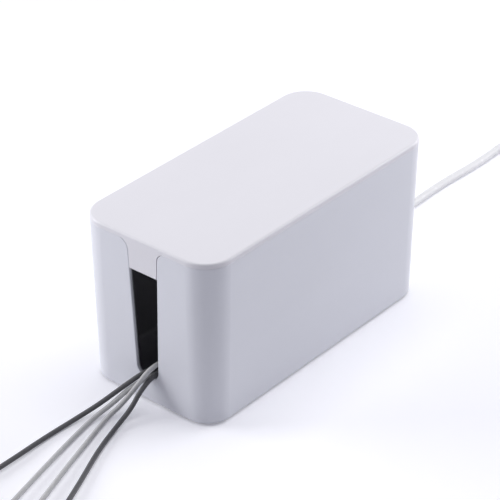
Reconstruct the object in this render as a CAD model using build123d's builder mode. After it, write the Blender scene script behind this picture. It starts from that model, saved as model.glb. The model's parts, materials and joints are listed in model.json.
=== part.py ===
from build123d import *
from math import atan, cos, degrees, isclose, pi, radians, sin, tan
import os

# Cable management box: a drafted tub with a cable slot at each end and a lift-off lid, holding a
# compact four-outlet socket strip with four charger cubes plugged into it.
# Millimetres. The origin is on the floor under the middle of the box, X runs along the box.

# ---- Box -------------------------------------------------------------------------------------
box_length = 235.0  # along X, at the lid seam
box_width = 115.0
box_height = 127.0
corner_radius = 21.0  # plan radius at the lid seam
wall_draft = 1.3  # degrees, the walls lean inwards towards the floor
wall = 2.5
floor_thickness = 3.0
base_edge_radius = 1.6
rim_edge_radius = 0.6  # also round the slots
cavity_floor_radius = 3.0

# ---- Cable slots, one in each end wall -------------------------------------------------------
slot_sill = 19.5  # height of the slot's bottom
slot_width = 18.1  # at the sill
slot_draft = 2.1  # degrees, the slot widens upwards
sill_radius = 8.5  # almost a full round
flare_radius = 7.5  # where the slot opens into the rim
tongue_edge_radius = 0.8

# ---- Lid -------------------------------------------------------------------------------------
lid_side = 3.8  # height of the lid's side above the seam
lid_plate = 2.6
lid_edge_radius = 1.7
tongue_bottom = 102.0
tongue_gap = 0.4
rib_gap = 0.4  # between the locating rib and the cavity wall
rib_thickness = 1.8
rib_depth = 4.0  # how far the locating rib reaches below the seam
stiffener_thickness = 1.5
stiffener_depth = 2.2
stiffener_count = 3
stiffener_pitch = 52.0

# ---- Rubber feet -----------------------------------------------------------------------------
foot_diameter = 12.0
foot_lift = 1.5  # gap under the tub
foot_recess = 1.0
foot_fit = 0.2
foot_edge_radius = 0.6
foot_inset_x = 26.0  # from the end of the box
foot_inset_y = 22.0  # from its side

# ---- Socket strip housing --------------------------------------------------------------------
strip_length = 150.0  # the outlets spread out over it
strip_width = 46.0
strip_height = 30.0
strip_shift = -3.0  # the strip's middle along X
strip_radius = 8.0
strip_wall = 2.2
strip_edge_radius = 2.5
strip_base_height = 9.0
pad_height = 1.0
pad_diameter = 9.0
pad_inset = 12.0
outlet_count = 4
outlet_first = 15.5  # from the strip's end to the first outlet
supply_bay = 41.5  # from the last outlet to the strip's supply end
outlet_recess = 0.6
outlet_margin = 0.5  # round a charger in its recess
boss_diameter = 7.0
boss_side = 15.0  # Y of the screw bosses
boss_inset = 8.0
screw_shank = 2.8
screw_head = 5.2
screw_head_height = 2.0
screw_cross = 4.2  # across the driver's recess
screw_slot = 0.8
screw_length = 12.0
screw_fit = 0.2
web_thickness = 1.5
cut_over = 1.0  # how far a hole's cut runs past the wall

# ---- Contacts: parallel flat blades and a round earth pin ------------------------------------
blade_spacing = 12.7
blade_thickness = 1.5
blade_width = 6.4
blade_length = 16.0
blade_socket = 3.0  # how deep the charger holds a blade
blade_fit = 0.05
slot_clearance = 0.4  # round a blade in the cover
earth_offset = 11.9
earth_diameter = 5.4
bar_thickness = 0.8
bar_width = 5.0
bar_height = 7.5  # the bars lie this far above the strip's underside
bar_end_gap = 1.0
clip_height = 11.0
clip_thickness = 0.6
clip_length = 7.0
clip_gap = 0.1
clip_lip = 0.8
clip_lip_height = 2.5
sleeve_height = 9.0

# ---- Supply side of the strip ----------------------------------------------------------------
gland_height = 22.0  # the supply cord's axis above the strip's underside
gland_neck = 8.6
gland_flange = 11.2
gland_flange_thickness = 2.0
gland_collar = 10.4
gland_length = 22.0
gland_tip = 8.2
gland_groove_depth = 1.5  # below the collar
gland_groove_width = 1.6
gland_groove_count = 5
gland_groove_pitch = 3.6
gland_fit = 0.1
supply_inset = 12.0  # from the strip's supply end to the switch, the lens and the breaker
switch_side = -11.5  # Y of the switch
switch_length = 15.0
switch_width = 10.5
switch_bezel = 1.4
switch_lip = 1.0
switch_wall = 0.8
switch_fit = 0.1
switch_depth = 12.0
pocket_depth = 8.0
pivot_drop = 0.6  # the rocker's axle below the cover's top
rocker_gap = 0.3
rocker_tilt = 9.0  # degrees either side of level
rocker_rise = 3.2  # end of the rocker above its axle
rocker_valley = 2.2
rocker_belly = 4.0
rocker_flank = 1.5
rocker_foot = 2.0
rocker_edge_radius = 0.6
axle_diameter = 1.6
axle_fit = 0.08
axle_reach = 0.4
breaker_side = 11.5  # Y of the breaker
breaker_flange = 13.0
breaker_flange_height = 1.5
breaker_barrel = 10.6
breaker_depth = 15.0
breaker_ledge = 2.0  # thickness over the button's chamber
breaker_chamber = 11.0
breaker_fit = 0.1
button_diameter = 6.4
button_collar = 8.0
button_collar_height = 1.6
button_stem = 3.0
button_stem_length = 3.0
button_proud = 3.0
button_fit = 0.2
button_edge_radius = 0.8
ledge_gap = 0.1
lens_diameter = 4.6
lens_cap = 6.2
lens_cap_height = 1.6
lens_dome = 1.2
lens_side = -0.5
lens_stem = 4.0
lens_fit = 0.1
board_length = 16.0
board_width = 34.0
board_thickness = 1.6
board_height = 4.6  # above the strip's underside
board_rail_inset = 1.5
varistor_diameter = 9.0
varistor_thickness = 3.6
varistor_count = 3
varistor_pitch = 11.0

# ---- Chargers, lead plugs and lead tips ------------------------------------------------------
charger_side = 27.0  # across the strip
charger_gap = 4.0  # between neighbours
charger_height = 28.0
charger_corner = 5.0
charger_edge_radius = 1.2
port_length = 12.6
port_width = 5.0
port_depth = 12.4
shell_fit = 0.2
shell_wall = 0.4
shell_end_gap = 0.4
plug_length = 15.6
plug_width = 8.0
plug_height = 17.0
plug_corner = 2.0
plug_seat = 0.3
relief_height = 9.0
relief_base = 6.4
relief_tip = 4.6
lead_diameter = 3.4
tip_length = 19.0
tip_width = 10.6
tip_height = 6.2
tip_corner = 2.4
tip_relief = 10.0
tip_relief_base = 5.2
tip_relief_end = 4.2
tip_shell_length = 6.7
tip_shell_width = 8.3
tip_shell_height = 2.5
tip_shell_corner = 1.2

# ---- Supply cord -----------------------------------------------------------------------------
floor_gap = 0.2  # soft pieces lie this far above the floor
cord_diameter = 6.0
coil_radius = 33.0  # middle of the turns
coil_across = 3  # turns side by side
coil_layers = 2
coil_pitch = 6.4
coil_corner = 2.6
tie_width = 20.0  # degrees of the coil that the tie covers
tie_thickness = 1.0
tie_gap = 0.3
mains_plug_length = 34.0
mains_plug_width = 27.0
mains_plug_height = 20.0
mains_plug_back_width = 13.5  # where the relief meets the plug
mains_plug_back_height = 16.0
mains_plug_taper = 10.0  # length of the plug's sloping back
mains_plug_corner = 4.0
mains_relief = 24.0
mains_relief_base = 11.0
mains_relief_tip = 7.8
mains_blade_length = 17.5
mains_pin_height = 6.0  # the earth pin above the plug's axis
bend_share = 0.45  # of the shorter run beside a bend

# ---- Worked out ------------------------------------------------------------------------------
seam_height = box_height - lid_side
cavity_floor = foot_lift + floor_thickness
strip_bottom = cavity_floor + pad_height
strip_split = strip_bottom + strip_base_height
strip_top = strip_bottom + strip_height
strip_start = strip_shift - strip_length / 2
strip_end = strip_shift + strip_length / 2
supply_zone = strip_end - supply_inset
outlet_face = strip_top - outlet_recess
outlet_pitch = (strip_length - outlet_first - supply_bay) / (outlet_count - 1)
outlets = [strip_start + outlet_first + outlet_pitch * i for i in range(outlet_count)]
charger_length = outlet_pitch - charger_gap
charger_top = outlet_face + charger_height
plug_bottom = charger_top + plug_seat
plug_top = plug_bottom + plug_height
lead_start = plug_top + relief_height
bar_bottom = strip_bottom + bar_height
bar_top = bar_bottom + bar_thickness
bar_start = strip_start + strip_wall + bar_end_gap
bar_end = outlets[-1] + outlet_pitch / 2
gland_axis = strip_bottom + gland_height
gland_end = strip_end + gland_length
coil_bottom = floor_gap + tie_thickness + tie_gap
lead_floor = floor_gap + lead_diameter / 2
cord_floor = floor_gap + cord_diameter / 2
tip_axis = floor_gap + tip_height / 2
mains_plug_axis = floor_gap + mains_plug_height / 2
foot_places = [
    (sx * (box_length / 2 - foot_inset_x), sy * (box_width / 2 - foot_inset_y))
    for sx in (-1, 1)
    for sy in (-1, 1)
]
screw_places = [
    (x, sy * boss_side)
    for x in (strip_start + boss_inset, outlets[-1] + outlet_pitch / 2)
    for sy in (-1, 1)
]
pad_places = [
    (strip_shift + sx * (strip_length / 2 - pad_inset), sy * (strip_width / 2 - pad_inset))
    for sx in (-1, 1)
    for sy in (-1, 1)
]

# ---- Routes of the leads and of the supply cord, chosen by hand ------------------------------
# Over from the plug: distance along X, share of the way into the lane, and height above the plug's
# relief. Down the lane: share of the way to the loop, and height. Round the loop: distance from
# its turning place, and height.
rise_steps = [(0, 0, 0), (0, 0, 13), (3, 0.5, 22), (9, 0.92, 16), (12, 1, -3)]
fall_steps = [(0.27, 64), (0.68, 47)]
loop_turn = [(-15, 37.5), (0, 32.5), (7, 20), (0.5, 7.8), (-20, 7)]
# How far past its outlet each lead's slack loop turns back, and how it gets from there to the
# strip's corner.
loop_reaches = [84.5, 68.5, 53.5, 40.5]
lane_ways = [
    [(-27, -27.3, 9), (-56, -27.3, 13)],
    [(-20, -31.8, 8), (-54, -31.8, 10)],
    [(0, -36.3, 7.2), (-32, -36.3, 9), (-60, -36.3, 13)],
    [(16, -40.8, 7.2), (-22, -40.6, 9), (-56, -38.5, 16)],
]
# From the strip's corner over the slot's sill and out along the floor: distance outside the end
# wall, Y, and height.
lead_exits = [
    [
        (-36, -28, 20), (-18, -4.2, 30.2), (-1, 1.2, 30.4), (13.2, 9.2, 18.6), (26.3, 17.2, 5.6),
        (43, 22.5, lead_floor), (75, 23.5, lead_floor), (108, 21.5, tip_axis), (132.5, 22, tip_axis),
    ],
    [
        (-34.5, -31.5, 15), (-18.5, -7, 24), (-1.5, -2.3, 27), (10.5, 3.8, 17), (19.5, 9.6, 6.3),
        (35, 14.5, lead_floor), (67, 8, lead_floor), (108, -3, tip_axis), (144, -12, tip_axis),
    ],
    [
        (-33, -34.8, 18.5), (-17, -8.6, 28.4), (-0.5, -5.2, 30), (11, -5.2, 18), (19, -4, 6.2),
        (33, -5, lead_floor), (61, -13, lead_floor), (97, -30, tip_axis), (130, -43, tip_axis),
    ],
    [
        (-33.5, -33.5, 26), (-16, -6.8, 34.5), (0.5, -4, 35.6), (10.5, -1, 20.8), (18.5, 3.2, 7.2),
        (32, 6.5, lead_floor), (60, -1.5, lead_floor), (97, -14, tip_axis), (138.5, -28, tip_axis),
    ],
]
# The supply cord runs from its gland over the far slot's sill, lies along the floor and ends in
# a tied coil with its plug beside it.
supply_route = [
    (103, 0, gland_axis), (119, 0.8, 29.5), (137, 3.5, 28), (157, 9, 18), (180, 14, 7),
    (207, 17.5, cord_floor), (246, 18.5, cord_floor), (290, 15.5, cord_floor), (334, 17.5, cord_floor),
    (372, 17, coil_bottom + cord_diameter / 2),
]
coil_centre = (372.0, -22.4)
tail_route = [
    (372, -62.2, mains_plug_axis),
    (354, -61.8, mains_plug_axis),
    (338, -61.8, mains_plug_axis),
]


def lead_drop(x, lane, loop):
    """A lead's way up from its plug, over into its lane beside the strip, down and round its loop."""
    crest = x + rise_steps[-1][0]
    foot = loop + loop_turn[0][0]
    rise = [(x + along, share * lane, lead_start + up) for along, share, up in rise_steps]
    fall = [(crest + share * (foot - crest), lane, height) for share, height in fall_steps]
    turn = [(loop + along, lane, height) for along, height in loop_turn]
    return rise + fall + turn


lead_routes = [
    lead_drop(x, way[0][1], x + reach) + way + [(-box_length / 2 - out, y, z) for out, y, z in exits]
    for x, reach, way, exits in zip(outlets, loop_reaches, lane_ways, lead_exits)
]

os.makedirs("parts", exist_ok=True)


# ---- Shared outlines -------------------------------------------------------------------------
def wall_plan(height, inset=0.0):
    """Plan outline of the drafted walls at a height, moved inwards by an inset."""
    lean = (seam_height - height) * tan(radians(wall_draft)) + inset
    with BuildSketch(Plane.XY.offset(height)) as outline:
        RectangleRounded(box_length - 2 * lean, box_width - 2 * lean, corner_radius - lean)
    return outline.sketch


def drafted(low, high, inset=0.0, mode=Mode.ADD):
    """Add, cut or keep the space inside the drafted walls between two heights."""
    extrude(wall_plan(low, inset), amount=high - low, taper=-wall_draft, mode=mode)


def slot_outline(gap=0.0):
    """End view of a cable slot, up past the rim, moved inwards by a gap."""
    half_sill = slot_width / 2
    half_rim = half_sill + (seam_height - slot_sill) * tan(radians(slot_draft))
    reach = half_rim + 2 * flare_radius
    above = seam_height + flare_radius
    with BuildSketch(Plane.YZ) as outline:
        with BuildLine():
            Polyline(
                (0, slot_sill),
                (half_sill, slot_sill),
                (half_rim, seam_height),
                (reach, seam_height),
                (reach, above),
                (0, above),
            )
            mirror(about=Plane.YZ)
        make_face()
        fillet(outline.vertices().group_by(Axis.Y)[0], radius=sill_radius)
        rim_corners = outline.vertices().filter_by(lambda v: isclose(v.Y, seam_height))
        fillet(rim_corners.sort_by(lambda v: abs(v.X))[:2], radius=flare_radius)
        if gap:
            offset(amount=-gap, mode=Mode.REPLACE)
    return outline.sketch


def upright(x, y, z):
    """A vertical plane through a point, with X along it and Z up it."""
    return Plane((x, y, z), x_dir=(1, 0, 0), z_dir=(0, -1, 0))


def strip_plan(height, inset=0.0):
    """Plan outline of the socket strip at a height."""
    with BuildSketch(Plane((strip_shift, 0, height))) as outline:
        RectangleRounded(strip_length - 2 * inset, strip_width - 2 * inset, strip_radius - inset)
    return outline.sketch


def discs(places, diameter, height):
    """Equal circles at places in plan."""
    with BuildSketch(Plane.XY.offset(height)) as circles:
        with Locations(*places):
            Circle(diameter / 2)
    return circles.sketch


# ---- Tub -------------------------------------------------------------------------------------
with BuildPart() as body_shell:
    drafted(foot_lift, seam_height)
    fillet(body_shell.faces().sort_by(Axis.Z)[0].edges(), radius=base_edge_radius)
    extrude(slot_outline(), amount=box_length, both=True, mode=Mode.SUBTRACT)
    # The rim's outer edge runs on round both slots without a corner, so it is rounded as one.
    lean = -sin(radians(wall_draft))
    outer_walls = body_shell.faces().filter_by(lambda f: isclose(f.normal_at().Z, lean))
    lowest = slot_sill - rim_edge_radius
    rim_and_slots = outer_walls.edges().filter_by(lambda e: e.bounding_box().min.Z > lowest)
    fillet(rim_and_slots, radius=rim_edge_radius)
    drafted(cavity_floor, seam_height, inset=wall, mode=Mode.SUBTRACT)
    cavity_face = body_shell.faces().filter_by(Plane.XY).sort_by(Axis.Z)[1]
    fillet(cavity_face.edges(), radius=cavity_floor_radius)
    foot_seat = foot_diameter + 2 * foot_fit
    extrude(discs(foot_places, foot_seat, foot_lift), amount=foot_recess, mode=Mode.SUBTRACT)
body_shell.part.label = "body_shell"
export_step(body_shell.part, "parts/body_shell.step")

# ---- Lid -------------------------------------------------------------------------------------
rib_outer = wall + rib_gap
rib_inner = rib_outer + rib_thickness
with BuildPart() as lid:
    extrude(slot_outline(tongue_gap), amount=box_length, both=True)
    drafted(tongue_bottom, seam_height, mode=Mode.INTERSECT)
    drafted(tongue_bottom, seam_height, inset=rib_outer, mode=Mode.SUBTRACT)
    tongue_ends = lid.edges().group_by(Axis.Z)[0].filter_by(Axis.Y).sort_by(Axis.X)
    fillet([tongue_ends[0], tongue_ends[-1]], radius=tongue_edge_radius)
    with BuildSketch(Plane.XY.offset(seam_height)):
        add(wall_plan(seam_height, rib_outer))
        add(wall_plan(seam_height, rib_inner), mode=Mode.SUBTRACT)
    extrude(amount=-rib_depth)
    extrude(wall_plan(seam_height), amount=lid_side)
    fillet(lid.faces().sort_by(Axis.Z)[-1].edges(), radius=lid_edge_radius)
    extrude(wall_plan(seam_height, rib_inner), amount=lid_side - lid_plate, mode=Mode.SUBTRACT)
    with BuildSketch(Plane.XY.offset(box_height - lid_plate)):
        with GridLocations(stiffener_pitch, 0, stiffener_count, 1):
            Rectangle(stiffener_thickness, box_width - 2 * rib_outer)
        with GridLocations(0, box_width / 3, 1, 2):
            Rectangle(box_length - 2 * rib_outer, stiffener_thickness)
    extrude(amount=-stiffener_depth)
lid.part.label = "lid"
export_step(lid.part, "parts/lid.step")

# ---- Rubber feet -----------------------------------------------------------------------------
for number, place in enumerate(foot_places, 1):
    with BuildPart() as foot:
        extrude(discs([place], foot_diameter, 0), amount=foot_lift + foot_recess)
        fillet(foot.faces().sort_by(Axis.Z)[0].edges(), radius=foot_edge_radius)
    foot.part.label = f"foot_{number}"
    export_step(foot.part, f"parts/foot_{number}.step")

# ---- Socket strip: housing -------------------------------------------------------------------
web_places = [(x + outlet_pitch / 2, 0) for x in outlets] + [(bar_start + web_thickness, 0)]
rail_places = [(supply_zone + side * (board_length / 2 - board_rail_inset), 0) for side in (-1, 1)]
base_floor = strip_bottom + strip_wall
cover_depth = strip_top - strip_split - strip_wall
web_length = strip_width - 2 * strip_wall
recess_length = charger_length + 2 * outlet_margin
recess_width = charger_side + 2 * outlet_margin
pilot_fit = screw_shank + screw_fit
shank_fit = screw_shank + 2 * screw_fit
head_fit = screw_head + 2 * screw_fit

with BuildPart() as strip_base:
    extrude(strip_plan(strip_bottom), amount=strip_base_height)
    fillet(strip_base.faces().sort_by(Axis.Z)[0].edges(), radius=strip_edge_radius / 2)
    extrude(strip_plan(base_floor, strip_wall), amount=strip_base_height, mode=Mode.SUBTRACT)
    with BuildSketch(Plane.XY.offset(base_floor)):
        with Locations(*web_places):
            Rectangle(web_thickness, web_length)
    extrude(amount=bar_height - strip_wall)
    with BuildSketch(Plane.XY.offset(base_floor)):
        with Locations(*rail_places):
            Rectangle(web_thickness, web_length)
    extrude(amount=board_height - strip_wall)
    extrude(discs(screw_places, boss_diameter, base_floor), amount=strip_split - base_floor)
    extrude(discs(screw_places, shank_fit, strip_bottom), amount=strip_base_height, mode=Mode.SUBTRACT)
    extrude(discs(screw_places, head_fit, strip_bottom), amount=screw_head_height, mode=Mode.SUBTRACT)
strip_base.part.label = "strip_base"
export_step(strip_base.part, "parts/strip_base.step")

with BuildPart() as strip_cover:
    extrude(strip_plan(strip_split), amount=strip_top - strip_split)
    fillet(strip_cover.faces().sort_by(Axis.Z)[-1].edges(), radius=strip_edge_radius)
    extrude(strip_plan(strip_split, strip_wall), amount=cover_depth, mode=Mode.SUBTRACT)
    extrude(discs(screw_places, boss_diameter, strip_split), amount=cover_depth)
    extrude(discs(screw_places, pilot_fit, strip_split), amount=screw_length, mode=Mode.SUBTRACT)
    with BuildSketch(Plane.XY.offset(strip_top)):
        with Locations(*[(x, 0) for x in outlets]):
            RectangleRounded(recess_length, recess_width, charger_corner + outlet_margin)
    extrude(amount=-outlet_recess, mode=Mode.SUBTRACT)
    with BuildSketch(Plane.XY.offset(strip_top)):
        with Locations(*[(x, side * blade_spacing / 2) for x in outlets for side in (-1, 1)]):
            Rectangle(blade_width + 2 * slot_clearance, blade_thickness + 2 * slot_clearance)
        with Locations(*[(x + earth_offset, 0) for x in outlets]):
            Circle(earth_diameter / 2)
        with Locations((supply_zone, switch_side)):
            Rectangle(switch_length - 2 * switch_lip, switch_width - 2 * switch_lip)
        with Locations((supply_zone, breaker_side)):
            Circle(breaker_barrel / 2 + breaker_fit)
        with Locations((supply_zone, lens_side)):
            Circle(lens_diameter / 2 + lens_fit)
    extrude(amount=-strip_wall - outlet_recess, mode=Mode.SUBTRACT)
    with BuildSketch(Plane.YZ.offset(strip_end)):
        with Locations((0, gland_axis)):
            Circle(gland_neck / 2 + gland_fit)
    extrude(amount=-strip_wall - cut_over, mode=Mode.SUBTRACT)
strip_cover.part.label = "strip_cover"
export_step(strip_cover.part, "parts/strip_cover.step")

with BuildPart() as strip_pads:
    extrude(discs(pad_places, pad_diameter, cavity_floor), amount=pad_height)
strip_pads.part.label = "strip_pads"
export_step(strip_pads.part, "parts/strip_pads.step")

with BuildPart() as strip_screws:
    screw_foot = strip_bottom + screw_fit
    extrude(discs(screw_places, screw_head, screw_foot), amount=screw_head_height - screw_fit)
    extrude(discs(screw_places, screw_shank, strip_bottom + screw_head_height), amount=screw_length)
    with BuildSketch(Plane.XY.offset(screw_foot)):
        with Locations(*screw_places):
            Rectangle(screw_cross, screw_slot)
            Rectangle(screw_slot, screw_cross)
    extrude(amount=screw_head_height / 2, mode=Mode.SUBTRACT)
strip_screws.part.label = "strip_screws"
export_step(strip_screws.part, "parts/strip_screws.step")


# ---- Socket strip: contacts ------------------------------------------------------------------
def clip_finger(side):
    """End view of one spring finger: straight beside the blade, then a lip that leads it in."""
    inner = blade_thickness / 2 + clip_gap
    outer = inner + clip_thickness
    knee = clip_height - clip_lip_height
    with BuildSketch() as finger:
        with BuildLine():
            Polyline(
                (side * inner, 0),
                (side * inner, knee),
                (side * (inner + clip_lip), clip_height),
                (side * (outer + clip_lip), clip_height),
                (side * outer, knee),
                (side * outer, 0),
                close=True,
            )
        make_face()
    return finger.sketch


def contact_bar(side):
    """A bar under one row of slots with a pair of spring fingers at each outlet."""
    row = side * blade_spacing / 2
    with BuildPart() as bar:
        with BuildSketch(Plane(((bar_start + bar_end) / 2, row, bar_bottom))):
            Rectangle(bar_end - bar_start, bar_width)
        extrude(amount=bar_thickness)
        for x in outlets:
            clip_start = (x - clip_length / 2, row, bar_top)
            with BuildSketch(Plane(clip_start, x_dir=(0, 1, 0), z_dir=(1, 0, 0))):
                add(clip_finger(1))
                add(clip_finger(-1))
            extrude(amount=clip_length)
    return bar.part


for name, side in (("line_bar", -1), ("neutral_bar", 1)):
    contact = contact_bar(side)
    contact.label = name
    export_step(contact, f"parts/{name}.step")

with BuildPart() as earth_bar:
    sleeve_places = [(x + earth_offset, 0) for x in outlets]
    with BuildSketch(Plane(((bar_start + bar_end) / 2, 0, bar_bottom))):
        Rectangle(bar_end - bar_start, bar_width)
    extrude(amount=bar_thickness)
    sleeve_bore = earth_diameter + 2 * clip_gap
    extrude(discs(sleeve_places, sleeve_bore + 2 * clip_thickness, bar_bottom), amount=sleeve_height)
    extrude(discs(sleeve_places, sleeve_bore, bar_bottom), amount=sleeve_height, mode=Mode.SUBTRACT)
earth_bar.part.label = "earth_bar"
export_step(earth_bar.part, "parts/earth_bar.step")

# ---- Socket strip: surge board ---------------------------------------------------------------
board_bottom = strip_bottom + board_height
board_top = board_bottom + board_thickness
varistor_row = [varistor_pitch * (i - (varistor_count - 1) / 2) for i in range(varistor_count)]
varistor_places = [(supply_zone, across) for across in varistor_row]

with BuildPart() as surge_board:
    with BuildSketch(Plane((supply_zone, 0, board_bottom))):
        Rectangle(board_length, board_width)
    extrude(amount=board_thickness)
surge_board.part.label = "surge_board"
export_step(surge_board.part, "parts/surge_board.step")

for number, place in enumerate(varistor_places, 1):
    with BuildPart() as varistor:
        extrude(discs([place], varistor_diameter, board_top), amount=varistor_thickness)
        fillet(varistor.edges(), radius=varistor_thickness / 3)
    varistor.part.label = f"varistor_{number}"
    export_step(varistor.part, f"parts/varistor_{number}.step")

# ---- Socket strip: switch --------------------------------------------------------------------
switch_place = (supply_zone, switch_side, strip_top)
pivot_height = strip_top - pivot_drop
pocket_length = switch_length - 2 * switch_lip - 2 * switch_wall
pocket_width = switch_width - 2 * switch_lip - 2 * switch_wall
switch_inset = switch_lip + switch_fit

with BuildPart() as switch_housing:
    with BuildSketch(Plane(switch_place)):
        RectangleRounded(switch_length, switch_width, switch_lip)
    extrude(amount=switch_bezel)
    with BuildSketch(Plane(switch_place)):
        Rectangle(switch_length - 2 * switch_inset, switch_width - 2 * switch_inset)
    extrude(amount=-switch_depth)
    with BuildSketch(Plane(switch_place).offset(switch_bezel)):
        Rectangle(pocket_length, pocket_width)
    extrude(amount=-pocket_depth, mode=Mode.SUBTRACT)
    with BuildSketch(upright(supply_zone, switch_side, pivot_height)):
        Circle(axle_diameter / 2 + axle_fit)
    extrude(amount=pocket_width / 2 + axle_reach + axle_fit, both=True, mode=Mode.SUBTRACT)
switch_housing.part.label = "switch_housing"
export_step(switch_housing.part, "parts/switch_housing.step")

# At rest the rocker is on: its end towards the outlets is pressed down.
rocker_half = pocket_length / 2 - rocker_gap - rocker_rise * sin(radians(rocker_tilt)) / 2
rocker_plane = Plane(
    (supply_zone, switch_side, pivot_height),
    x_dir=(cos(radians(rocker_tilt)), 0, sin(radians(rocker_tilt))),
    z_dir=(0, -1, 0),
)
with BuildPart() as rocker:
    with BuildSketch(rocker_plane) as rocker_profile:
        with BuildLine():
            Polyline(
                (0, rocker_valley),
                (rocker_half, rocker_rise),
                (rocker_half, -rocker_flank),
                (rocker_foot, -rocker_belly),
                (0, -rocker_belly),
            )
            mirror(about=Plane.YZ)
        make_face()
        fillet(rocker_profile.vertices().group_by(Axis.Y)[-1], radius=rocker_edge_radius)
    extrude(amount=pocket_width / 2 - rocker_gap, both=True)
    with BuildSketch(rocker_plane):
        Circle(axle_diameter / 2)
    extrude(amount=pocket_width / 2 + axle_reach, both=True)
rocker.part.label = "rocker"
export_step(rocker.part, "parts/rocker.step")

with BuildPart() as indicator_lens:
    extrude(discs([(supply_zone, lens_side)], lens_diameter, strip_top), amount=-lens_stem)
    extrude(discs([(supply_zone, lens_side)], lens_cap, strip_top), amount=lens_cap_height)
    fillet(indicator_lens.faces().sort_by(Axis.Z)[-1].edges(), radius=lens_dome)
indicator_lens.part.label = "indicator_lens"
export_step(indicator_lens.part, "parts/indicator_lens.step")

# ---- Socket strip: breaker -------------------------------------------------------------------
breaker_plane = upright(supply_zone, breaker_side, strip_top)
breaker_axis = Axis((supply_zone, breaker_side, 0), (0, 0, 1))

with BuildPart() as breaker_housing:
    with BuildSketch(breaker_plane):
        with BuildLine():
            bore = button_diameter / 2 + button_fit
            chamber = button_collar / 2 + button_fit
            Polyline(
                (bore, breaker_flange_height),
                (breaker_flange / 2, breaker_flange_height),
                (breaker_flange / 2, 0),
                (breaker_barrel / 2, 0),
                (breaker_barrel / 2, -breaker_depth),
                (0, -breaker_depth),
                (0, -breaker_chamber),
                (chamber, -breaker_chamber),
                (chamber, -breaker_ledge),
                (bore, -breaker_ledge),
                close=True,
            )
        make_face()
    revolve(axis=breaker_axis)
breaker_housing.part.label = "breaker_housing"
export_step(breaker_housing.part, "parts/breaker_housing.step")

with BuildPart() as reset_button:
    with BuildSketch(breaker_plane):
        with BuildLine():
            collar_top = -breaker_ledge - ledge_gap
            collar_bottom = collar_top - button_collar_height
            Polyline(
                (0, breaker_flange_height + button_proud),
                (button_diameter / 2, breaker_flange_height + button_proud),
                (button_diameter / 2, collar_top),
                (button_collar / 2, collar_top),
                (button_collar / 2, collar_bottom),
                (button_stem / 2, collar_bottom),
                (button_stem / 2, collar_bottom - button_stem_length),
                (0, collar_bottom - button_stem_length),
                close=True,
            )
        make_face()
    revolve(axis=breaker_axis)
    fillet(reset_button.faces().sort_by(Axis.Z)[-1].edges(), radius=button_edge_radius)
reset_button.part.label = "reset_button"
export_step(reset_button.part, "parts/reset_button.step")

# ---- Cord gland: clamped in the cover's end wall, ribbed so that it bends --------------------
with BuildPart() as cord_gland:
    with BuildSketch(upright(strip_end, 0, gland_axis)):
        with BuildLine():
            inside = -strip_wall - gland_fit
            Polyline(
                (inside - gland_flange_thickness, 0),
                (inside - gland_flange_thickness, gland_flange / 2),
                (inside, gland_flange / 2),
                (inside, gland_neck / 2),
                (gland_fit, gland_neck / 2),
                (gland_fit, gland_collar / 2),
                (gland_length, gland_tip / 2),
                (gland_length, 0),
                close=True,
            )
        make_face()
        grooves = [gland_groove_pitch * (i + 1) for i in range(gland_groove_count)]
        with Locations(*[(along, gland_collar / 2) for along in grooves]):
            Rectangle(gland_groove_width, 2 * gland_groove_depth, mode=Mode.SUBTRACT)
    revolve(axis=Axis((0, 0, gland_axis), (1, 0, 0)))
cord_gland.part.label = "cord_gland"
export_step(cord_gland.part, "parts/cord_gland.step")

# ---- Chargers and the plugs in them ----------------------------------------------------------
for number, x in enumerate(outlets, 1):
    with BuildPart() as charger:
        with BuildSketch(Plane((x, 0, outlet_face))):
            RectangleRounded(charger_length, charger_side, charger_corner)
        extrude(amount=charger_height)
        rims = charger.faces().sort_by(Axis.Z)
        fillet(rims[0].edges() + rims[-1].edges(), radius=charger_edge_radius)
        with BuildSketch(Plane((x, 0, charger_top))):
            Rectangle(port_length, port_width)
        extrude(amount=-port_depth, mode=Mode.SUBTRACT)
        with BuildSketch(Plane((x, 0, outlet_face))):
            with GridLocations(0, blade_spacing, 1, 2):
                Rectangle(blade_width + 2 * blade_fit, blade_thickness + 2 * blade_fit)
        extrude(amount=blade_socket + blade_fit, mode=Mode.SUBTRACT)
    charger.part.label = f"charger_{number}"
    export_step(charger.part, f"parts/charger_{number}.step")

    with BuildPart() as lead_plug:
        with BuildSketch(Plane((x, 0, plug_bottom))):
            RectangleRounded(plug_length, plug_width, plug_corner)
        extrude(amount=plug_height)
        fillet(lead_plug.faces().sort_by(Axis.Z)[-1].edges(), radius=plug_corner / 2)
        relief_taper = degrees(atan((relief_base - relief_tip) / 2 / relief_height))
        extrude(discs([(x, 0)], relief_base, plug_top), amount=relief_height, taper=relief_taper)
    lead_plug.part.label = f"lead_plug_{number}"
    export_step(lead_plug.part, f"parts/lead_plug_{number}.step")

with BuildPart() as charger_blades:
    with BuildSketch(Plane.XY.offset(outlet_face + blade_socket)):
        with Locations(*[(x, side * blade_spacing / 2) for x in outlets for side in (-1, 1)]):
            Rectangle(blade_width, blade_thickness)
    extrude(amount=-blade_socket - blade_length)
    chamfer(charger_blades.edges().group_by(Axis.Z)[0].filter_by(Axis.X), length=blade_thickness / 3)
charger_blades.part.label = "charger_blades"
export_step(charger_blades.part, "parts/charger_blades.step")

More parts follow.
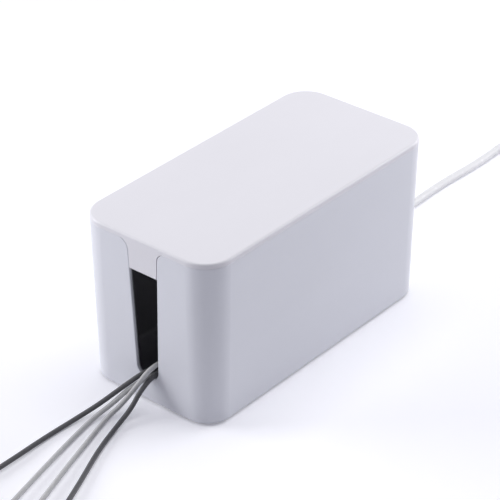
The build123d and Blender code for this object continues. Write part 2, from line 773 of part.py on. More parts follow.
with BuildPart() as plug_shells:
    shell_length = port_length - 2 * shell_fit
    shell_width = port_width - 2 * shell_fit
    with BuildSketch(Plane.XY.offset(plug_bottom)):
        with Locations(*[(x, 0) for x in outlets]):
            Rectangle(shell_length, shell_width)
    extrude(amount=-port_depth - plug_seat + shell_end_gap)
    with BuildSketch(Plane.XY.offset(plug_bottom - shell_wall)):
        with Locations(*[(x, 0) for x in outlets]):
            Rectangle(shell_length - 2 * shell_wall, shell_width - 2 * shell_wall)
    extrude(amount=-port_depth, mode=Mode.SUBTRACT)
plug_shells.part.label = "plug_shells"
export_step(plug_shells.part, "parts/plug_shells.step")


# ---- Leads and cord --------------------------------------------------------------------------
def bend_radii(points):
    """The largest even bend at each corner of a route, from its two runs and its turn."""
    radii = []
    for before, corner, after in zip(points, points[1:], points[2:]):
        run_in = Vector(corner) - Vector(before)
        run_out = Vector(after) - Vector(corner)
        half_turn = radians(run_in.get_angle(run_out) / 2)
        radii.append(bend_share * min(run_in.length, run_out.length) / tan(half_turn))
    return radii


def cord_tube(points, diameter):
    """A round cord along a route of straight runs joined by tangent arcs."""
    with BuildPart() as tube:
        with BuildLine() as route:
            FilletPolyline(*points, radius=bend_radii(points))
        with BuildSketch(Plane(route.wire() @ 0, z_dir=route.wire() % 0)):
            Circle(diameter / 2)
        sweep(path=route.wire())
    length = route.wire().length
    radii = [round(r) for r in bend_radii(points)]
    section = tube.part.volume / (length * pi * diameter**2 / 4)
    print(f"cord {length:.0f} mm, volume over section times length {section:.4f}, radii {radii}")
    return tube.part


def lead_tip(end, direction):
    """The moulded connector on a lead's far end, and its metal shell."""
    face = Plane((end[0], end[1], tip_axis), x_dir=direction.cross(Vector(0, 0, 1)), z_dir=direction)
    with BuildPart() as moulding:
        with BuildSketch(face):
            Circle(tip_relief_end / 2)
        with BuildSketch(face.offset(tip_relief)):
            Circle(tip_relief_base / 2)
        loft()
        with BuildSketch(face.offset(tip_relief)):
            RectangleRounded(tip_width, tip_height, tip_corner)
        extrude(amount=tip_length)
    with BuildPart() as shell:
        with BuildSketch(face.offset(tip_relief + tip_length)):
            RectangleRounded(tip_shell_width, tip_shell_height, tip_shell_corner)
        extrude(amount=tip_shell_length)
    return moulding.part, shell.part


tip_shell_solids = []
for number, points in enumerate(lead_routes, 1):
    lead = cord_tube(points, lead_diameter)
    lead.label = f"lead_{number}"
    export_step(lead, f"parts/lead_{number}.step")
    last_run = Vector(points[-1]) - Vector(points[-2])
    moulding, shell = lead_tip(points[-1], last_run.normalized())
    moulding.label = f"lead_tip_{number}"
    export_step(moulding, f"parts/lead_tip_{number}.step")
    tip_shell_solids += shell.solids()

with BuildPart() as tip_shells:
    add(tip_shell_solids)
tip_shells.part.label = "tip_shells"
export_step(tip_shells.part, "parts/tip_shells.step")

supply_cord = cord_tube([(gland_end, 0, gland_axis)] + supply_route, cord_diameter)
supply_cord.label = "supply_cord"
export_step(supply_cord, "parts/supply_cord.step")

supply_tail = cord_tube(tail_route, cord_diameter)
supply_tail.label = "supply_tail"
export_step(supply_tail, "parts/supply_tail.step")

# ---- Wound length of the supply cord, and its tie --------------------------------------------
coil_width = coil_pitch * (coil_across - 1) + cord_diameter
coil_height = coil_pitch * (coil_layers - 1) + cord_diameter
coil_plane = upright(*coil_centre, coil_bottom + coil_height / 2)
coil_axis = Axis((*coil_centre, 0), (0, 0, 1))


def coil_section(margin=0.0):
    """Section through the wound turns, moved outwards by a margin."""
    with BuildSketch(coil_plane) as section:
        with Locations((coil_radius, 0)):
            RectangleRounded(coil_width + 2 * margin, coil_height + 2 * margin, coil_corner + margin)
    return section.sketch


with BuildPart() as supply_coil:
    revolve(coil_section(), axis=coil_axis)
supply_coil.part.label = "supply_coil"
export_step(supply_coil.part, "parts/supply_coil.step")

with BuildPart() as coil_tie:
    revolve(coil_section(tie_gap + tie_thickness), axis=coil_axis, revolution_arc=tie_width)
    revolve(coil_section(tie_gap), axis=coil_axis, revolution_arc=tie_width, mode=Mode.SUBTRACT)
coil_tie.part.label = "coil_tie"
export_step(coil_tie.part, "parts/coil_tie.step")

# ---- Mains plug on the supply cord -----------------------------------------------------------
plug_place = tail_route[-1]
plug_face = Plane(plug_place, x_dir=(0, 1, 0), z_dir=(-1, 0, 0))

with BuildPart() as mains_plug:
    with BuildSketch(plug_face):
        Circle(mains_relief_tip / 2)
    with BuildSketch(plug_face.offset(mains_relief)):
        Circle(mains_relief_base / 2)
    loft()
    with BuildSketch(plug_face.offset(mains_relief)):
        RectangleRounded(mains_plug_back_width, mains_plug_back_height, mains_plug_corner)
    with BuildSketch(plug_face.offset(mains_relief + mains_plug_taper)):
        RectangleRounded(mains_plug_width, mains_plug_height, mains_plug_corner)
    loft()
    with BuildSketch(plug_face.offset(mains_relief + mains_plug_taper)):
        RectangleRounded(mains_plug_width, mains_plug_height, mains_plug_corner)
    extrude(amount=mains_plug_length - mains_plug_taper)
mains_plug.part.label = "mains_plug"
export_step(mains_plug.part, "parts/mains_plug.step")

with BuildPart() as mains_blades:
    with BuildSketch(plug_face.offset(mains_relief + mains_plug_length)):
        with GridLocations(blade_spacing, 0, 2, 1):
            with Locations((0, -mains_pin_height / 2)):
                Rectangle(blade_thickness, blade_width)
        with Locations((0, mains_pin_height)):
            Circle(earth_diameter / 2 - clip_gap)
    extrude(amount=mains_blade_length)
mains_blades.part.label = "mains_blades"
export_step(mains_blades.part, "parts/mains_blades.step")
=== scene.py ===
"""Looks of the cable management box: camera, cords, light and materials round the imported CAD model.

Everything is in metres, in the CAD frame: origin on the floor under the middle of the box, X along
the box towards the supply cord, Z up.
"""

import json
import math

import bpy
from mathutils import Matrix, Vector


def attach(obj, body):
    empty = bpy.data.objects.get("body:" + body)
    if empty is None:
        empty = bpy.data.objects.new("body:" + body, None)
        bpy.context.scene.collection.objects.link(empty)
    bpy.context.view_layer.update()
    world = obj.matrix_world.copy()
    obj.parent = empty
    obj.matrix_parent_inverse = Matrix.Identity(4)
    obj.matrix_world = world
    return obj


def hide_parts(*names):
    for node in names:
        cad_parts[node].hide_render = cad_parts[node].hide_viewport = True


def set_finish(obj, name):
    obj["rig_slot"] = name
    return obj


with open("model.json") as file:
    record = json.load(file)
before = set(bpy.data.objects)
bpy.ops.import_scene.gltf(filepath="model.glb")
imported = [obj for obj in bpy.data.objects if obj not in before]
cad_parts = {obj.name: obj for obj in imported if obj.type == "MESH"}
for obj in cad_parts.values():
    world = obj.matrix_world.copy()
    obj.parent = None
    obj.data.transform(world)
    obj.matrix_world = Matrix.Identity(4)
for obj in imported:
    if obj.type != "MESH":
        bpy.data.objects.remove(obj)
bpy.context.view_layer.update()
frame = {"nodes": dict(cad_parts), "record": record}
scene = bpy.context.scene
collection = scene.collection
MM = 0.001

# ---- Camera ----------------------------------------------------------------------------------
CAMERA_AZIMUTH = -50.008  # degrees
CAMERA_ELEVATION = 31.477
CAMERA_ROLL = -0.118
CAMERA_DISTANCE = 1.56824
CAMERA_TARGET = Vector((0.00267, 0.01015, 0.060))
CAMERA_LENS = 163.3  # mm
CAMERA_SENSOR = 36.0  # mm, square


def look_frame(azimuth, elevation, roll):
    """Right, up and back of a camera at these angles, in degrees."""
    az = math.radians(azimuth)
    el = math.radians(elevation)
    back = Vector((math.sin(az) * math.cos(el), -math.cos(az) * math.cos(el), math.sin(el)))
    right = Vector((0, 0, 1)).cross(back).normalized()
    up = back.cross(right)
    turn = math.radians(roll)
    return (
        right * math.cos(turn) + up * math.sin(turn),
        up * math.cos(turn) - right * math.sin(turn),
        back,
    )


def add_camera():
    right, up, back = look_frame(CAMERA_AZIMUTH, CAMERA_ELEVATION, CAMERA_ROLL)
    data = bpy.data.cameras.new("camera")
    data.sensor_fit = "HORIZONTAL"
    data.sensor_width = CAMERA_SENSOR
    data.lens = CAMERA_LENS
    data.clip_end = 50.0
    camera = bpy.data.objects.new("camera", data)
    collection.objects.link(camera)
    place = Matrix((right, up, back)).transposed().to_4x4()
    place.translation = CAMERA_TARGET + back * CAMERA_DISTANCE
    camera.matrix_world = place
    scene.camera = camera


add_camera()

# ---- Cords: the routes of the CAD model, in millimetres -----------------------------------------
LEAD_DIAMETER = 3.4
LEAD_START = 89.2  # top of a lead plug's relief
LEAD_FLOOR = 1.9  # height of a lead's axis on the floor
TIP_AXIS = 3.3
END_WALL = -117.5
OUTLETS = (-62.5, -31.5, -0.5, 30.5)
LOOP_REACHES = (84.5, 68.5, 53.5, 40.5)  # from a lead's outlet to where it turns back
LEAD_LENGTHS = (0.476, 0.495, 0.498, 0.527)
# X from the outlet, share of the way to the lane, height above the plug.
RISE_STEPS = ((0, 0, 0), (0, 0, 13), (3, 0.5, 22), (9, 0.92, 16), (12, 1, -3))
FALL_STEPS = ((0.27, 64), (0.68, 47))  # share of the way to the loop, height
# X from the loop's place, height.
LOOP_TURN = ((-15, 37.5), (0, 32.5), (7, 20), (0.5, 7.8), (-20, 7))
LANES = (
    ((-27, -27.3, 9), (-56, -27.3, 13)),
    ((-20, -31.8, 8), (-54, -31.8, 10)),
    ((0, -36.3, 7.2), (-32, -36.3, 9), (-60, -36.3, 13)),
    ((16, -40.8, 7.2), (-22, -40.6, 9), (-56, -38.5, 16)),
)
# Distance outside the end wall, Y, Z. Over the sill the leads lie nearer to it than their CAD
# tubes.
LEAD_EXITS = (
    (
        (-36, -28, 18),
        (-18, -4.2, 25.6),
        (-1, 0.3, 26.2),
        (13.2, 9.0, 16.6),
        (27.5, 17.4, 6.6),
        (43, 22.5, LEAD_FLOOR),
        (75, 23.5, LEAD_FLOOR),
        (108, 21.5, TIP_AXIS),
        (132.5, 22, TIP_AXIS),
    ),
    (
        (-34.5, -31.5, 14),
        (-18.5, -7, 21.5),
        (-2.5, -2.5, 23.0),
        (11, 5.2, 15.8),
        (22, 10.4, 7.2),
        (35, 14.5, LEAD_FLOOR),
        (67, 8, LEAD_FLOOR),
        (108, -3, TIP_AXIS),
        (144, -12, TIP_AXIS),
    ),
    (
        (-33, -34.8, 17.5),
        (-17, -8.6, 25.2),
        (-2.2, -5.5, 24.8),
        (10, -4.4, 17.8),
        (18, -2.6, 6.6),
        (33, -4, LEAD_FLOOR),
        (61, -13, LEAD_FLOOR),
        (97, -30, TIP_AXIS),
        (130, -43, TIP_AXIS),
    ),
    (
        (-33.5, -33.5, 25),
        (-16, -7.4, 31.5),
        (-0.3, -5.4, 31.8),
        (8.5, -0.6, 20.4),
        (18.5, 5, 7.2),
        (31, 7.5, LEAD_FLOOR),
        (60, -1.5, LEAD_FLOOR),
        (97, -14, TIP_AXIS),
        (138.5, -28, TIP_AXIS),
    ),
)

CORD_DIAMETER = 6.0
CORD_EXIT = (94, 0, 27.5)
CORD_ROUTE = (
    (103, 0, 27.5),
    (119, 0.8, 29.5),
    (137, 3.5, 28),
    (157, 9, 18),
    (180, 14, 7),
    (207, 17.5, 3.2),
    (246, 18.5, 3.2),
    (290, 15.5, 3.2),
    (334, 17.5, 3.2),
)
CORD_TAIL = ((354, -61.8, 10.4), (338, -61.8, 10.2))
COIL_CENTRE = (372.0, -22.4)
COIL_OUTER = 39.4  # radius of the outermost turn's axis
COIL_INNER = 26.6
COIL_OVERHANG = 0.3  # how much further out the upper layer ends
COIL_PITCH = 6.4
COIL_LOW = 4.5  # axis height of the lower layer
COIL_HIGH = 10.9
COIL_LOW_TURNS = 2.0
COIL_CLIMB = 0.35  # turns that the climb to the upper layer takes
COIL_TURNS = 4.5
COIL_POINTS = 16  # per turn
COIL_BULGE = 0.981  # a turn's curve lies this share of its control points' radius out


def coil_place(turn):
    """Radius and height of the coil's axis after this many turns."""
    climbed = min(max((turn - COIL_LOW_TURNS) / COIL_CLIMB, 0.0), 1.0)
    height = COIL_LOW + (COIL_HIGH - COIL_LOW) * climbed
    if turn <= COIL_LOW_TURNS:
        return COIL_OUTER - COIL_PITCH * turn, height
    flat = COIL_LOW_TURNS + COIL_CLIMB
    outward = max(turn - flat, 0.0) / (COIL_TURNS - flat)
    return COIL_INNER + (COIL_OUTER + COIL_OVERHANG - COIL_INNER) * outward, height


def coil_points():
    """The coil's control points, clockwise from its +Y side."""
    points = []
    for step in range(round(COIL_TURNS * COIL_POINTS) + 1):
        turn = step / COIL_POINTS
        radius, height = coil_place(turn)
        angle = math.radians(90.0) - math.tau * turn
        reach = radius / COIL_BULGE
        x = COIL_CENTRE[0] + reach * math.cos(angle)
        y = COIL_CENTRE[1] + reach * math.sin(angle)
        points.append((x, y, height))
    return points


def lead_points(outlet, reach, lane, outside):
    """A lead's route: up from its plug, down beside the strip, back along it and out."""
    side = lane[0][1]
    loop = outlet + reach
    crest = outlet + RISE_STEPS[-1][0]
    foot = loop + LOOP_TURN[0][0]
    rise = [(outlet + along, share * side, LEAD_START + up) for along, share, up in RISE_STEPS]
    fall = [(crest + share * (foot - crest), side, height) for share, height in FALL_STEPS]
    turn = [(loop + along, side, height) for along, height in LOOP_TURN]
    return rise + fall + turn + list(lane) + [(END_WALL - out, y, z) for out, y, z in outside]


def smooth_cord(name, points, diameter):
    """A round cord along one NURBS spline through these control points, given in millimetres."""
    curve = bpy.data.curves.new(name, "CURVE")
    curve.dimensions = "3D"
    curve.bevel_depth = 1.0  # times each point's radius, which a curve's bounds also grow by
    curve.bevel_resolution = 6
    curve.use_fill_caps = True
    spline = curve.splines.new("NURBS")
    spline.points.add(len(points) - 1)
    for place, point in zip(spline.points, points):
        place.co = (point[0] * MM, point[1] * MM, point[2] * MM, 1.0)
        place.radius = 0.5 * diameter * MM
    spline.order_u = 3
    spline.use_endpoint_u = True
    spline.resolution_u = 12
    cord = bpy.data.objects.new(name, curve)
    collection.objects.link(cord)
    return cord


def add_leads():
    leads = []
    for number, (outlet, reach, lane, outside, length) in enumerate(
        zip(OUTLETS, LOOP_REACHES, LANES, LEAD_EXITS, LEAD_LENGTHS), start=1
    ):
        points = lead_points(outlet, reach, lane, outside)
        lead = smooth_cord(f"charging_lead_{number}", points, LEAD_DIAMETER)
        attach(lead, "box")
        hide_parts(f"lead_{number}")
        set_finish(lead, "dark_lead" if number in (1, 3) else "pale_lead")
        leads.append(lead)
    return leads


# ---- The strap round the coil ------------------------------------------------------------------
STRAP_GAP = 0.3  # between the strap and the coil
STRAP_THICKNESS = 1.0
STRAP_START = 0.0  # degrees round the coil
STRAP_SWEEP = 20.0
STRAP_CORNER = 3.4
STRAP_EDGE = 0.3  # bevel width
STRAP_ROWS = 9  # vertices across the strap
STRAP_ARC = 8  # steps in each corner


def strap_outline(offset):
    """The closed outline of the coil's bundle in radius and height, this far outside it."""
    half_cord = 0.5 * CORD_DIAMETER
    low_r = COIL_INNER - half_cord - offset
    high_r = COIL_OUTER + half_cord + offset
    low_z = COIL_LOW - half_cord - offset
    high_z = COIL_HIGH + half_cord + offset
    corner = STRAP_CORNER + offset
    outline = []
    for mid_r, mid_z, start in (
        (high_r - corner, high_z - corner, 0),
        (low_r + corner, high_z - corner, 90),
        (low_r + corner, low_z + corner, 180),
        (high_r - corner, low_z + corner, 270),
    ):
        for step in range(STRAP_ARC + 1):
            angle = math.radians(start + 90.0 * step / STRAP_ARC)
            outline.append((mid_r + corner * math.cos(angle), mid_z + corner * math.sin(angle)))
    return outline


def add_strap():
    """A woven strap round the coil."""
    verts = []
    faces = []
    outline = strap_outline(STRAP_GAP + 0.5 * STRAP_THICKNESS)
    for row in range(STRAP_ROWS):
        angle = math.radians(STRAP_START + STRAP_SWEEP * row / (STRAP_ROWS - 1))
        for radius, height in outline:
            verts.append(
                (
                    (COIL_CENTRE[0] + radius * math.cos(angle)) * MM,
                    (COIL_CENTRE[1] + radius * math.sin(angle)) * MM,
                    height * MM,
                )
            )
    around = len(outline)
    for row in range(STRAP_ROWS - 1):
        for step in range(around):
            after = (step + 1) % around
            faces.append(
                (
                    row * around + step,
                    row * around + after,
                    (row + 1) * around + after,
                    (row + 1) * around + step,
                )
            )
    mesh = bpy.data.meshes.new("coil_strap")
    mesh.from_pydata(verts, [], faces)
    mesh.shade_smooth()
    strap = bpy.data.objects.new("coil_strap", mesh)
    collection.objects.link(strap)
    thick = strap.modifiers.new("thickness", "SOLIDIFY")
    thick.thickness = STRAP_THICKNESS * MM
    thick.offset = 0.0
    rounded = strap.modifiers.new("soft edges", "BEVEL")
    rounded.width = STRAP_EDGE * MM
    rounded.segments = 2
    rounded.limit_method = "ANGLE"
    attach(strap, "box")
    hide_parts("coil_tie")
    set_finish(strap, "tie_fabric")
    return strap


def add_supply_cord():
    route = [CORD_EXIT, *CORD_ROUTE, *coil_points(), *CORD_TAIL]
    cord = smooth_cord("mains_cord", route, CORD_DIAMETER)
    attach(cord, "box")
    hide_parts("supply_cord", "supply_coil", "supply_tail")
    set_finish(cord, "supply_sheath")
    return cord


leads = add_leads()
strap = add_strap()
supply_cord = add_supply_cord()

# ---- Materials: every one gets its colour, roughness and surface from nodes ----------------------


class Finish:
    """A material with a Principled shader and a few procedural layers in object space."""

    def __init__(self, name, roughness, metallic=0.0):
        self.material = bpy.data.materials.new(name)
        self.material.use_nodes = True
        self.nodes = self.material.node_tree.nodes
        self.links = self.material.node_tree.links
        self.shader = self.nodes["Principled BSDF"]
        self.shader.inputs["Metallic"].default_value = metallic
        self.roughness = roughness
        self.coords = self.nodes.new("ShaderNodeTexCoord").outputs["Object"]
        self.height = None

    def noise(self, size, detail=2.0, stretch=(1, 1, 1)):
        """Noise with features of this size in metres, its output from about 0 to 1."""
        mapping = self.nodes.new("ShaderNodeMapping")
        mapping.inputs["Scale"].default_value = stretch
        texture = self.nodes.new("ShaderNodeTexNoise")
        texture.inputs["Scale"].default_value = 1.0 / size
        texture.inputs["Detail"].default_value = detail
        self.links.new(self.coords, mapping.inputs["Vector"])
        self.links.new(mapping.outputs["Vector"], texture.inputs["Vector"])
        return texture.outputs["Fac"]

    def spread(self, value, low, high, start=0.3, end=0.7):
        """The value from start to end, mapped to low to high."""
        spread = self.nodes.new("ShaderNodeMapRange")
        spread.inputs["From Min"].default_value = start
        spread.inputs["From Max"].default_value = end
        spread.inputs["To Min"].default_value = low
        spread.inputs["To Max"].default_value = high
        self.links.new(value, spread.inputs["Value"])
        return spread.outputs["Result"]

    def tones(self, first, second, pattern):
        """The colour runs from first to second with the pattern."""
        mix = self.nodes.new("ShaderNodeMix")
        mix.data_type = "RGBA"
        mix.inputs["A"].default_value = (*first, 1.0)
        mix.inputs["B"].default_value = (*second, 1.0)
        self.links.new(pattern, mix.inputs["Factor"])
        self.links.new(mix.outputs["Result"], self.shader.inputs["Base Color"])
        return mix

    def vary_roughness(self, pattern, amount):
        rough = self.spread(pattern, self.roughness - amount, self.roughness + amount)
        self.links.new(rough, self.shader.inputs["Roughness"])

    def bump(self, height, depth):
        """Adds relief of this depth in metres over what is there already."""
        bump = self.nodes.new("ShaderNodeBump")
        bump.inputs["Strength"].default_value = 1.0
        bump.inputs["Distance"].default_value = depth
        self.links.new(height, bump.inputs["Height"])
        if self.height:
            self.links.new(self.height, bump.inputs["Normal"])
        self.height = bump.outputs["Normal"]
        self.links.new(self.height, self.shader.inputs["Normal"])

    def set(self, **values):
        """Uniform values on the shader's own sockets."""
        for name, value in values.items():
            self.shader.inputs[name.replace("_", " ")].default_value = value


# The tub's outer walls: straight up to these distances from the middle, then rounded.
TUB_CORE = (0.0965, 0.0365, 1.0)
TUB_DRAFT = math.tan(math.radians(1.3))  # how far the walls lean out per unit of height
TUB_CORNER = 0.021  # corner radius at the rim
TUB_RIM = 0.1232
TUB_SKIN = TUB_CORNER - TUB_RIM * TUB_DRAFT  # the corner radius, brought down to the floor
# Painted shade: inside the tub's cavity the colour is darkened to this share of the white, standing
# for the dim inside.
CAVITY_SHADE_TONE = 0.5
CAVITY_SHADE_START = 0.0013  # depth in the wall where the painted shade starts
CAVITY_SHADE_END = 0.0023
FLOW_SIZE = 0.06  # of a plastic's flow marks
FLOW_STRETCH = (0.4, 1, 1)
FLOW_TONES = (0.985, 1.01)
PLASTIC_GRAIN = 0.0004
PLASTIC_RELIEF = 0.000006
PLASTIC_IOR = 1.47
WEAVE_SCALE = 320.0


def tinted(color, factor):
    return tuple(min(channel * factor, 1.0) for channel in color)


def flow_marks(finish, color):
    """The tone's slow change along a moulding; gives the mix node."""
    flow = finish.spread(finish.noise(FLOW_SIZE, 3.0, FLOW_STRETCH), 0.0, 1.0)
    return finish.tones(*(tinted(color, tone) for tone in FLOW_TONES), flow)


def moulded_skin(finish):
    """The roughness, waviness and spark-eroded grain of a moulding."""
    finish.vary_roughness(finish.noise(0.012, 4.0), 0.035)
    finish.bump(finish.noise(0.045, 1.0), 0.00006)
    finish.bump(finish.noise(PLASTIC_GRAIN, 2.0), PLASTIC_RELIEF)


def moulded_plastic(name, color, roughness, coat=0.0, specular=0.5):
    """Injection-moulded plastic: spark-eroded grain and slight flow marks."""
    finish = Finish(name, roughness)
    flow_marks(finish, color)
    moulded_skin(finish)
    finish.set(IOR=PLASTIC_IOR, Specular_IOR_Level=specular)
    if coat:
        finish.set(Coat_Weight=coat, Coat_Roughness=0.08)
    return finish.material


def tub_plastic(name, color, roughness):
    """The tub's moulded plastic, with painted shade: inside the cavity its colour is darkened to
    stand for the dim inside of the box.
    """
    finish = Finish(name, roughness)
    outside = flow_marks(finish, color)
    offset = finish.nodes.new("ShaderNodeVectorMath")
    offset.operation = "ABSOLUTE"
    finish.links.new(finish.coords, offset.inputs[0])
    beyond = finish.nodes.new("ShaderNodeVectorMath")
    beyond.operation = "SUBTRACT"
    beyond.inputs[1].default_value = TUB_CORE
    finish.links.new(offset.outputs["Vector"], beyond.inputs[0])
    reach = finish.nodes.new("ShaderNodeVectorMath")
    reach.operation = "MAXIMUM"
    reach.inputs[1].default_value = (0.0, 0.0, 0.0)
    finish.links.new(beyond.outputs["Vector"], reach.inputs[0])
    distance = finish.nodes.new("ShaderNodeVectorMath")
    distance.operation = "LENGTH"
    finish.links.new(reach.outputs["Vector"], distance.inputs[0])
    height = finish.nodes.new("ShaderNodeSeparateXYZ")
    finish.links.new(finish.coords, height.inputs["Vector"])
    upright = finish.nodes.new("ShaderNodeMath")
    upright.operation = "MULTIPLY_ADD"
    upright.inputs[1].default_value = -TUB_DRAFT
    finish.links.new(height.outputs["Z"], upright.inputs[0])
    finish.links.new(distance.outputs["Value"], upright.inputs[2])
    # Painted shade mask: 1 on the outer skin, falling to 0 deeper in the wall, where the darkened
    # cavity colour takes over.
    depth = finish.spread(
        upright.outputs["Value"], 0.0, 1.0, TUB_SKIN - CAVITY_SHADE_END, TUB_SKIN - CAVITY_SHADE_START
    )
    cavity_shade = finish.nodes.new("ShaderNodeMix")
    cavity_shade.data_type = "RGBA"
    cavity_shade.inputs["A"].default_value = (*tinted(color, CAVITY_SHADE_TONE), 1.0)
    finish.links.new(outside.outputs["Result"], cavity_shade.inputs["B"])
    finish.links.new(depth, cavity_shade.inputs["Factor"])
    finish.links.new(cavity_shade.outputs["Result"], finish.shader.inputs["Base Color"])
    moulded_skin(finish)
    finish.set(IOR=PLASTIC_IOR)
    return finish.material


def soft_rubber(name, color, roughness, depth=0.00002):
    """Elastomer: fine matt skin with pale scuffs."""
    finish = Finish(name, roughness)
    scuffs = finish.noise(0.004, 5.0)
    finish.tones(color, tinted(color, 1.18), finish.spread(scuffs, 0.0, 1.0, 0.55, 0.8))
    finish.vary_roughness(finish.noise(0.002, 3.0), 0.06)
    finish.bump(finish.noise(0.0005, 2.0), depth)
    finish.set(Sheen_Weight=0.15, Sheen_Roughness=0.5, IOR=1.5)
    return finish.material


def worked_metal(name, color, roughness, grain=(1, 1, 14), depth=0.00001):
    """Stamped or drawn metal: fine lines along one axis and patchy brightness."""
    finish = Finish(name, roughness, metallic=1.0)
    patches = finish.noise(0.006, 3.0)
    finish.tones(tinted(color, 0.86), color, finish.spread(patches, 0.0, 1.0))
    lines = finish.noise(0.0009, 3.0, grain)
    finish.vary_roughness(lines, 0.08)
    finish.bump(lines, depth)
    return finish.material


def circuit_board(name, color):
    """Solder mask over copper tracks."""
    finish = Finish(name, 0.35)
    tracks = finish.noise(0.003, 0.0, (1, 3, 1))
    finish.tones(color, tinted(color, 1.6), finish.spread(tracks, 0.0, 1.0, 0.48, 0.52))
    finish.vary_roughness(finish.noise(0.002, 3.0), 0.08)
    finish.bump(tracks, 0.00003)
    return finish.material


def woven_fabric(name, color):
    """Narrow webbing: a fine over-and-under weave with a slight fuzz."""
    finish = Finish(name, 0.85)
    both = finish.nodes.new("ShaderNodeMath")
    both.operation = "MULTIPLY"
    for socket, direction in enumerate("ZY"):
        threads = finish.nodes.new("ShaderNodeTexWave")
        threads.wave_type = "BANDS"
        threads.bands_direction = direction
        threads.inputs["Scale"].default_value = WEAVE_SCALE
        threads.inputs["Distortion"].default_value = 1.5
        finish.links.new(finish.coords, threads.inputs["Vector"])
        finish.links.new(threads.outputs["Fac"], both.inputs[socket])
    finish.tones(tinted(color, 0.6), tinted(color, 1.5), both.outputs["Value"])
    finish.vary_roughness(finish.noise(0.001, 3.0), 0.05)
    finish.bump(both.outputs["Value"], 0.0003)
    finish.set(Sheen_Weight=0.4, Sheen_Roughness=0.4)
    return finish.material


# Painted light: the lid's white is a little lighter and less blue than the tub's, standing for the
# lit top of one and the same white plastic.
LID_LIT_WHITE = (0.82, 0.81, 0.855)
STRIP_BLACK = (0.01, 0.01, 0.011)
BLACK_GLOSS = 0.2  # specular level of the black plastics
MATERIALS = {
    # Painted shade: the tub's white is a little darker and bluer than the lid's, standing for its
    # shaded sides.
    "shell_plastic": tub_plastic("shell_plastic", (0.79, 0.80, 0.86), 0.42),
    "lid_plastic": moulded_plastic("lid_plastic", LID_LIT_WHITE, 0.40),
    "foot_rubber": soft_rubber("foot_rubber", (0.02, 0.02, 0.022), 0.75),
    "strip_base_plastic": moulded_plastic(
        "strip_base_plastic", STRIP_BLACK, 0.6, specular=BLACK_GLOSS
    ),
    "strip_cover_plastic": moulded_plastic(
        "strip_cover_plastic", STRIP_BLACK, 0.55, specular=BLACK_GLOSS
    ),
    "screw_steel": worked_metal("screw_steel", (0.5, 0.5, 0.5), 0.35),
    "contact_brass": worked_metal("contact_brass", (0.68, 0.5, 0.22), 0.3),
    "board": circuit_board("board", (0.01, 0.09, 0.035)),
    "varistor_blue": moulded_plastic("varistor_blue", (0.02, 0.05, 0.22), 0.3, coat=0.5),
    "switch_plastic": moulded_plastic("switch_plastic", (0.012, 0.012, 0.013), 0.45),
    "rocker_plastic": moulded_plastic("rocker_plastic", (0.45, 0.012, 0.01), 0.25, coat=0.4),
    "lens": moulded_plastic("lens", (0.7, 0.2, 0.03), 0.15, coat=0.8),
    "button_plastic": moulded_plastic("button_plastic", (0.6, 0.6, 0.58), 0.35),
    "gland_rubber": soft_rubber("gland_rubber", (0.55, 0.55, 0.57), 0.6),
    "charger_plastic": moulded_plastic(
        "charger_plastic", (0.008, 0.008, 0.009), 0.5, specular=BLACK_GLOSS
    ),
    "blade_metal": worked_metal("blade_metal", (0.7, 0.62, 0.42), 0.25),
    "dark_plug": soft_rubber("dark_plug", (0.03, 0.03, 0.032), 0.6),
    "pale_plug": soft_rubber("pale_plug", (0.62, 0.62, 0.64), 0.55),
    "shell_metal": worked_metal("shell_metal", (0.62, 0.62, 0.62), 0.25),
    "dark_lead": soft_rubber("dark_lead", (0.06, 0.06, 0.068), 0.55),
    "pale_lead": soft_rubber("pale_lead", (0.52, 0.52, 0.53), 0.5),
    "supply_sheath": soft_rubber("supply_sheath", (0.76, 0.76, 0.78), 0.5),
    "tie_fabric": woven_fabric("tie_fabric", (0.02, 0.02, 0.022)),
    "mains_plug_plastic": moulded_plastic("mains_plug_plastic", (0.66, 0.66, 0.68), 0.42),
}


def dress(piece, slot):
    piece.data.materials.clear()
    piece.data.materials.append(MATERIALS[slot])


for entry in frame["record"]["subparts"]:
    dress(frame["nodes"][entry["node"]], entry["material_slot"])
for piece in (*leads, strap, supply_cord):
    dress(piece, piece["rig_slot"])

# ---- Floor, world and lamps ---------------------------------------------------------------------
FLOOR_REACH = 6.0
FLOOR_TONE = (0.88, 0.88, 0.91)
FLOOR_GLOW = (0.20, 0.20, 0.22)  # what the camera sees on top of the lit floor
WORLD_TONE = (0.14, 0.14, 0.17)
LAMP_AIM = 0.06  # height that the lamps point at


def camera_or_mirror(nodes, links):
    """1 for what the camera sees, directly, in a reflection or through glass."""
    path = nodes.new("ShaderNodeLightPath")
    first = nodes.new("ShaderNodeMath")
    first.operation = "MAXIMUM"
    both = nodes.new("ShaderNodeMath")
    both.operation = "MAXIMUM"
    links.new(path.outputs["Is Camera Ray"], first.inputs[0])
    links.new(path.outputs["Is Glossy Ray"], first.inputs[1])
    links.new(first.outputs["Value"], both.inputs[0])
    links.new(path.outputs["Is Transmission Ray"], both.inputs[1])
    return both.outputs["Value"]


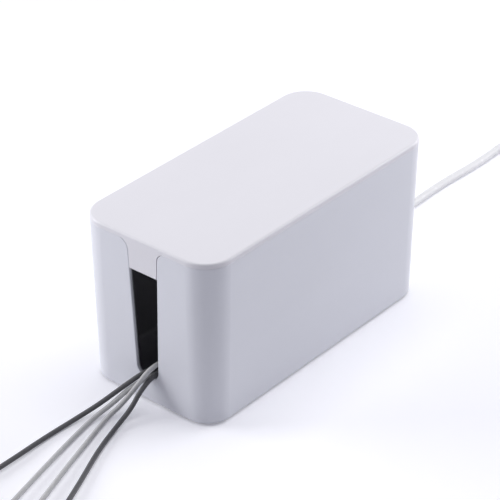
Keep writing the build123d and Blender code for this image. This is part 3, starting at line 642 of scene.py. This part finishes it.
def add_floor():
    mesh = bpy.data.meshes.new("floor")
    corners = [(-1, -1, 0), (1, -1, 0), (1, 1, 0), (-1, 1, 0)]
    mesh.from_pydata([Vector(corner) * FLOOR_REACH for corner in corners], [], [(0, 1, 2, 3)])
    floor = bpy.data.objects.new("floor", mesh)
    collection.objects.link(floor)
    material = bpy.data.materials.new("floor")
    material.use_nodes = True
    nodes = material.node_tree.nodes
    links = material.node_tree.links
    shader = nodes["Principled BSDF"]
    shader.inputs["Base Color"].default_value = (*FLOOR_TONE, 1.0)
    shader.inputs["Roughness"].default_value = 0.9
    shader.inputs["Specular IOR Level"].default_value = 0.1
    shader.inputs["Emission Color"].default_value = (*FLOOR_GLOW, 1.0)
    links.new(camera_or_mirror(nodes, links), shader.inputs["Emission Strength"])
    mesh.materials.append(material)


def light_world():
    world = bpy.data.worlds.new("world")
    scene.world = world
    world.use_nodes = True
    nodes = world.node_tree.nodes
    links = world.node_tree.links
    background = nodes["Background"]
    mix = nodes.new("ShaderNodeMix")
    mix.data_type = "RGBA"
    mix.inputs["A"].default_value = (*WORLD_TONE, 1.0)
    mix.inputs["B"].default_value = (1.0, 1.0, 1.0, 1.0)
    links.new(camera_or_mirror(nodes, links), mix.inputs["Factor"])
    links.new(mix.outputs["Result"], background.inputs["Color"])
    background.inputs["Strength"].default_value = 1.0


def add_softbox(name, direction, distance, size, power):
    """A large square lamp in this direction from the object, turned towards it."""
    data = bpy.data.lights.new(name, "AREA")
    data.shape = "SQUARE"
    data.size = size
    data.energy = power
    lamp = bpy.data.objects.new(name, data)
    collection.objects.link(lamp)
    away = Vector(direction).normalized()
    lamp.location = Vector((0, 0, LAMP_AIM)) + away * distance
    lamp.rotation_euler = away.to_track_quat("Z", "Y").to_euler()
    lamp.visible_camera = False


add_floor()
light_world()
add_softbox("softbox_left", (-0.54, 0.83, 0.34), 1.5, 0.8, 13.7)
add_softbox("softbox_top", (0.12, 0.0, 1.0), 2.2, 1.6, 26.0)
add_softbox("softbox_right", (1.0, -0.48, 0.42), 1.1, 0.7, 6.2)
scene.view_settings.view_transform = "Standard"

bpy.context.view_layer.update()
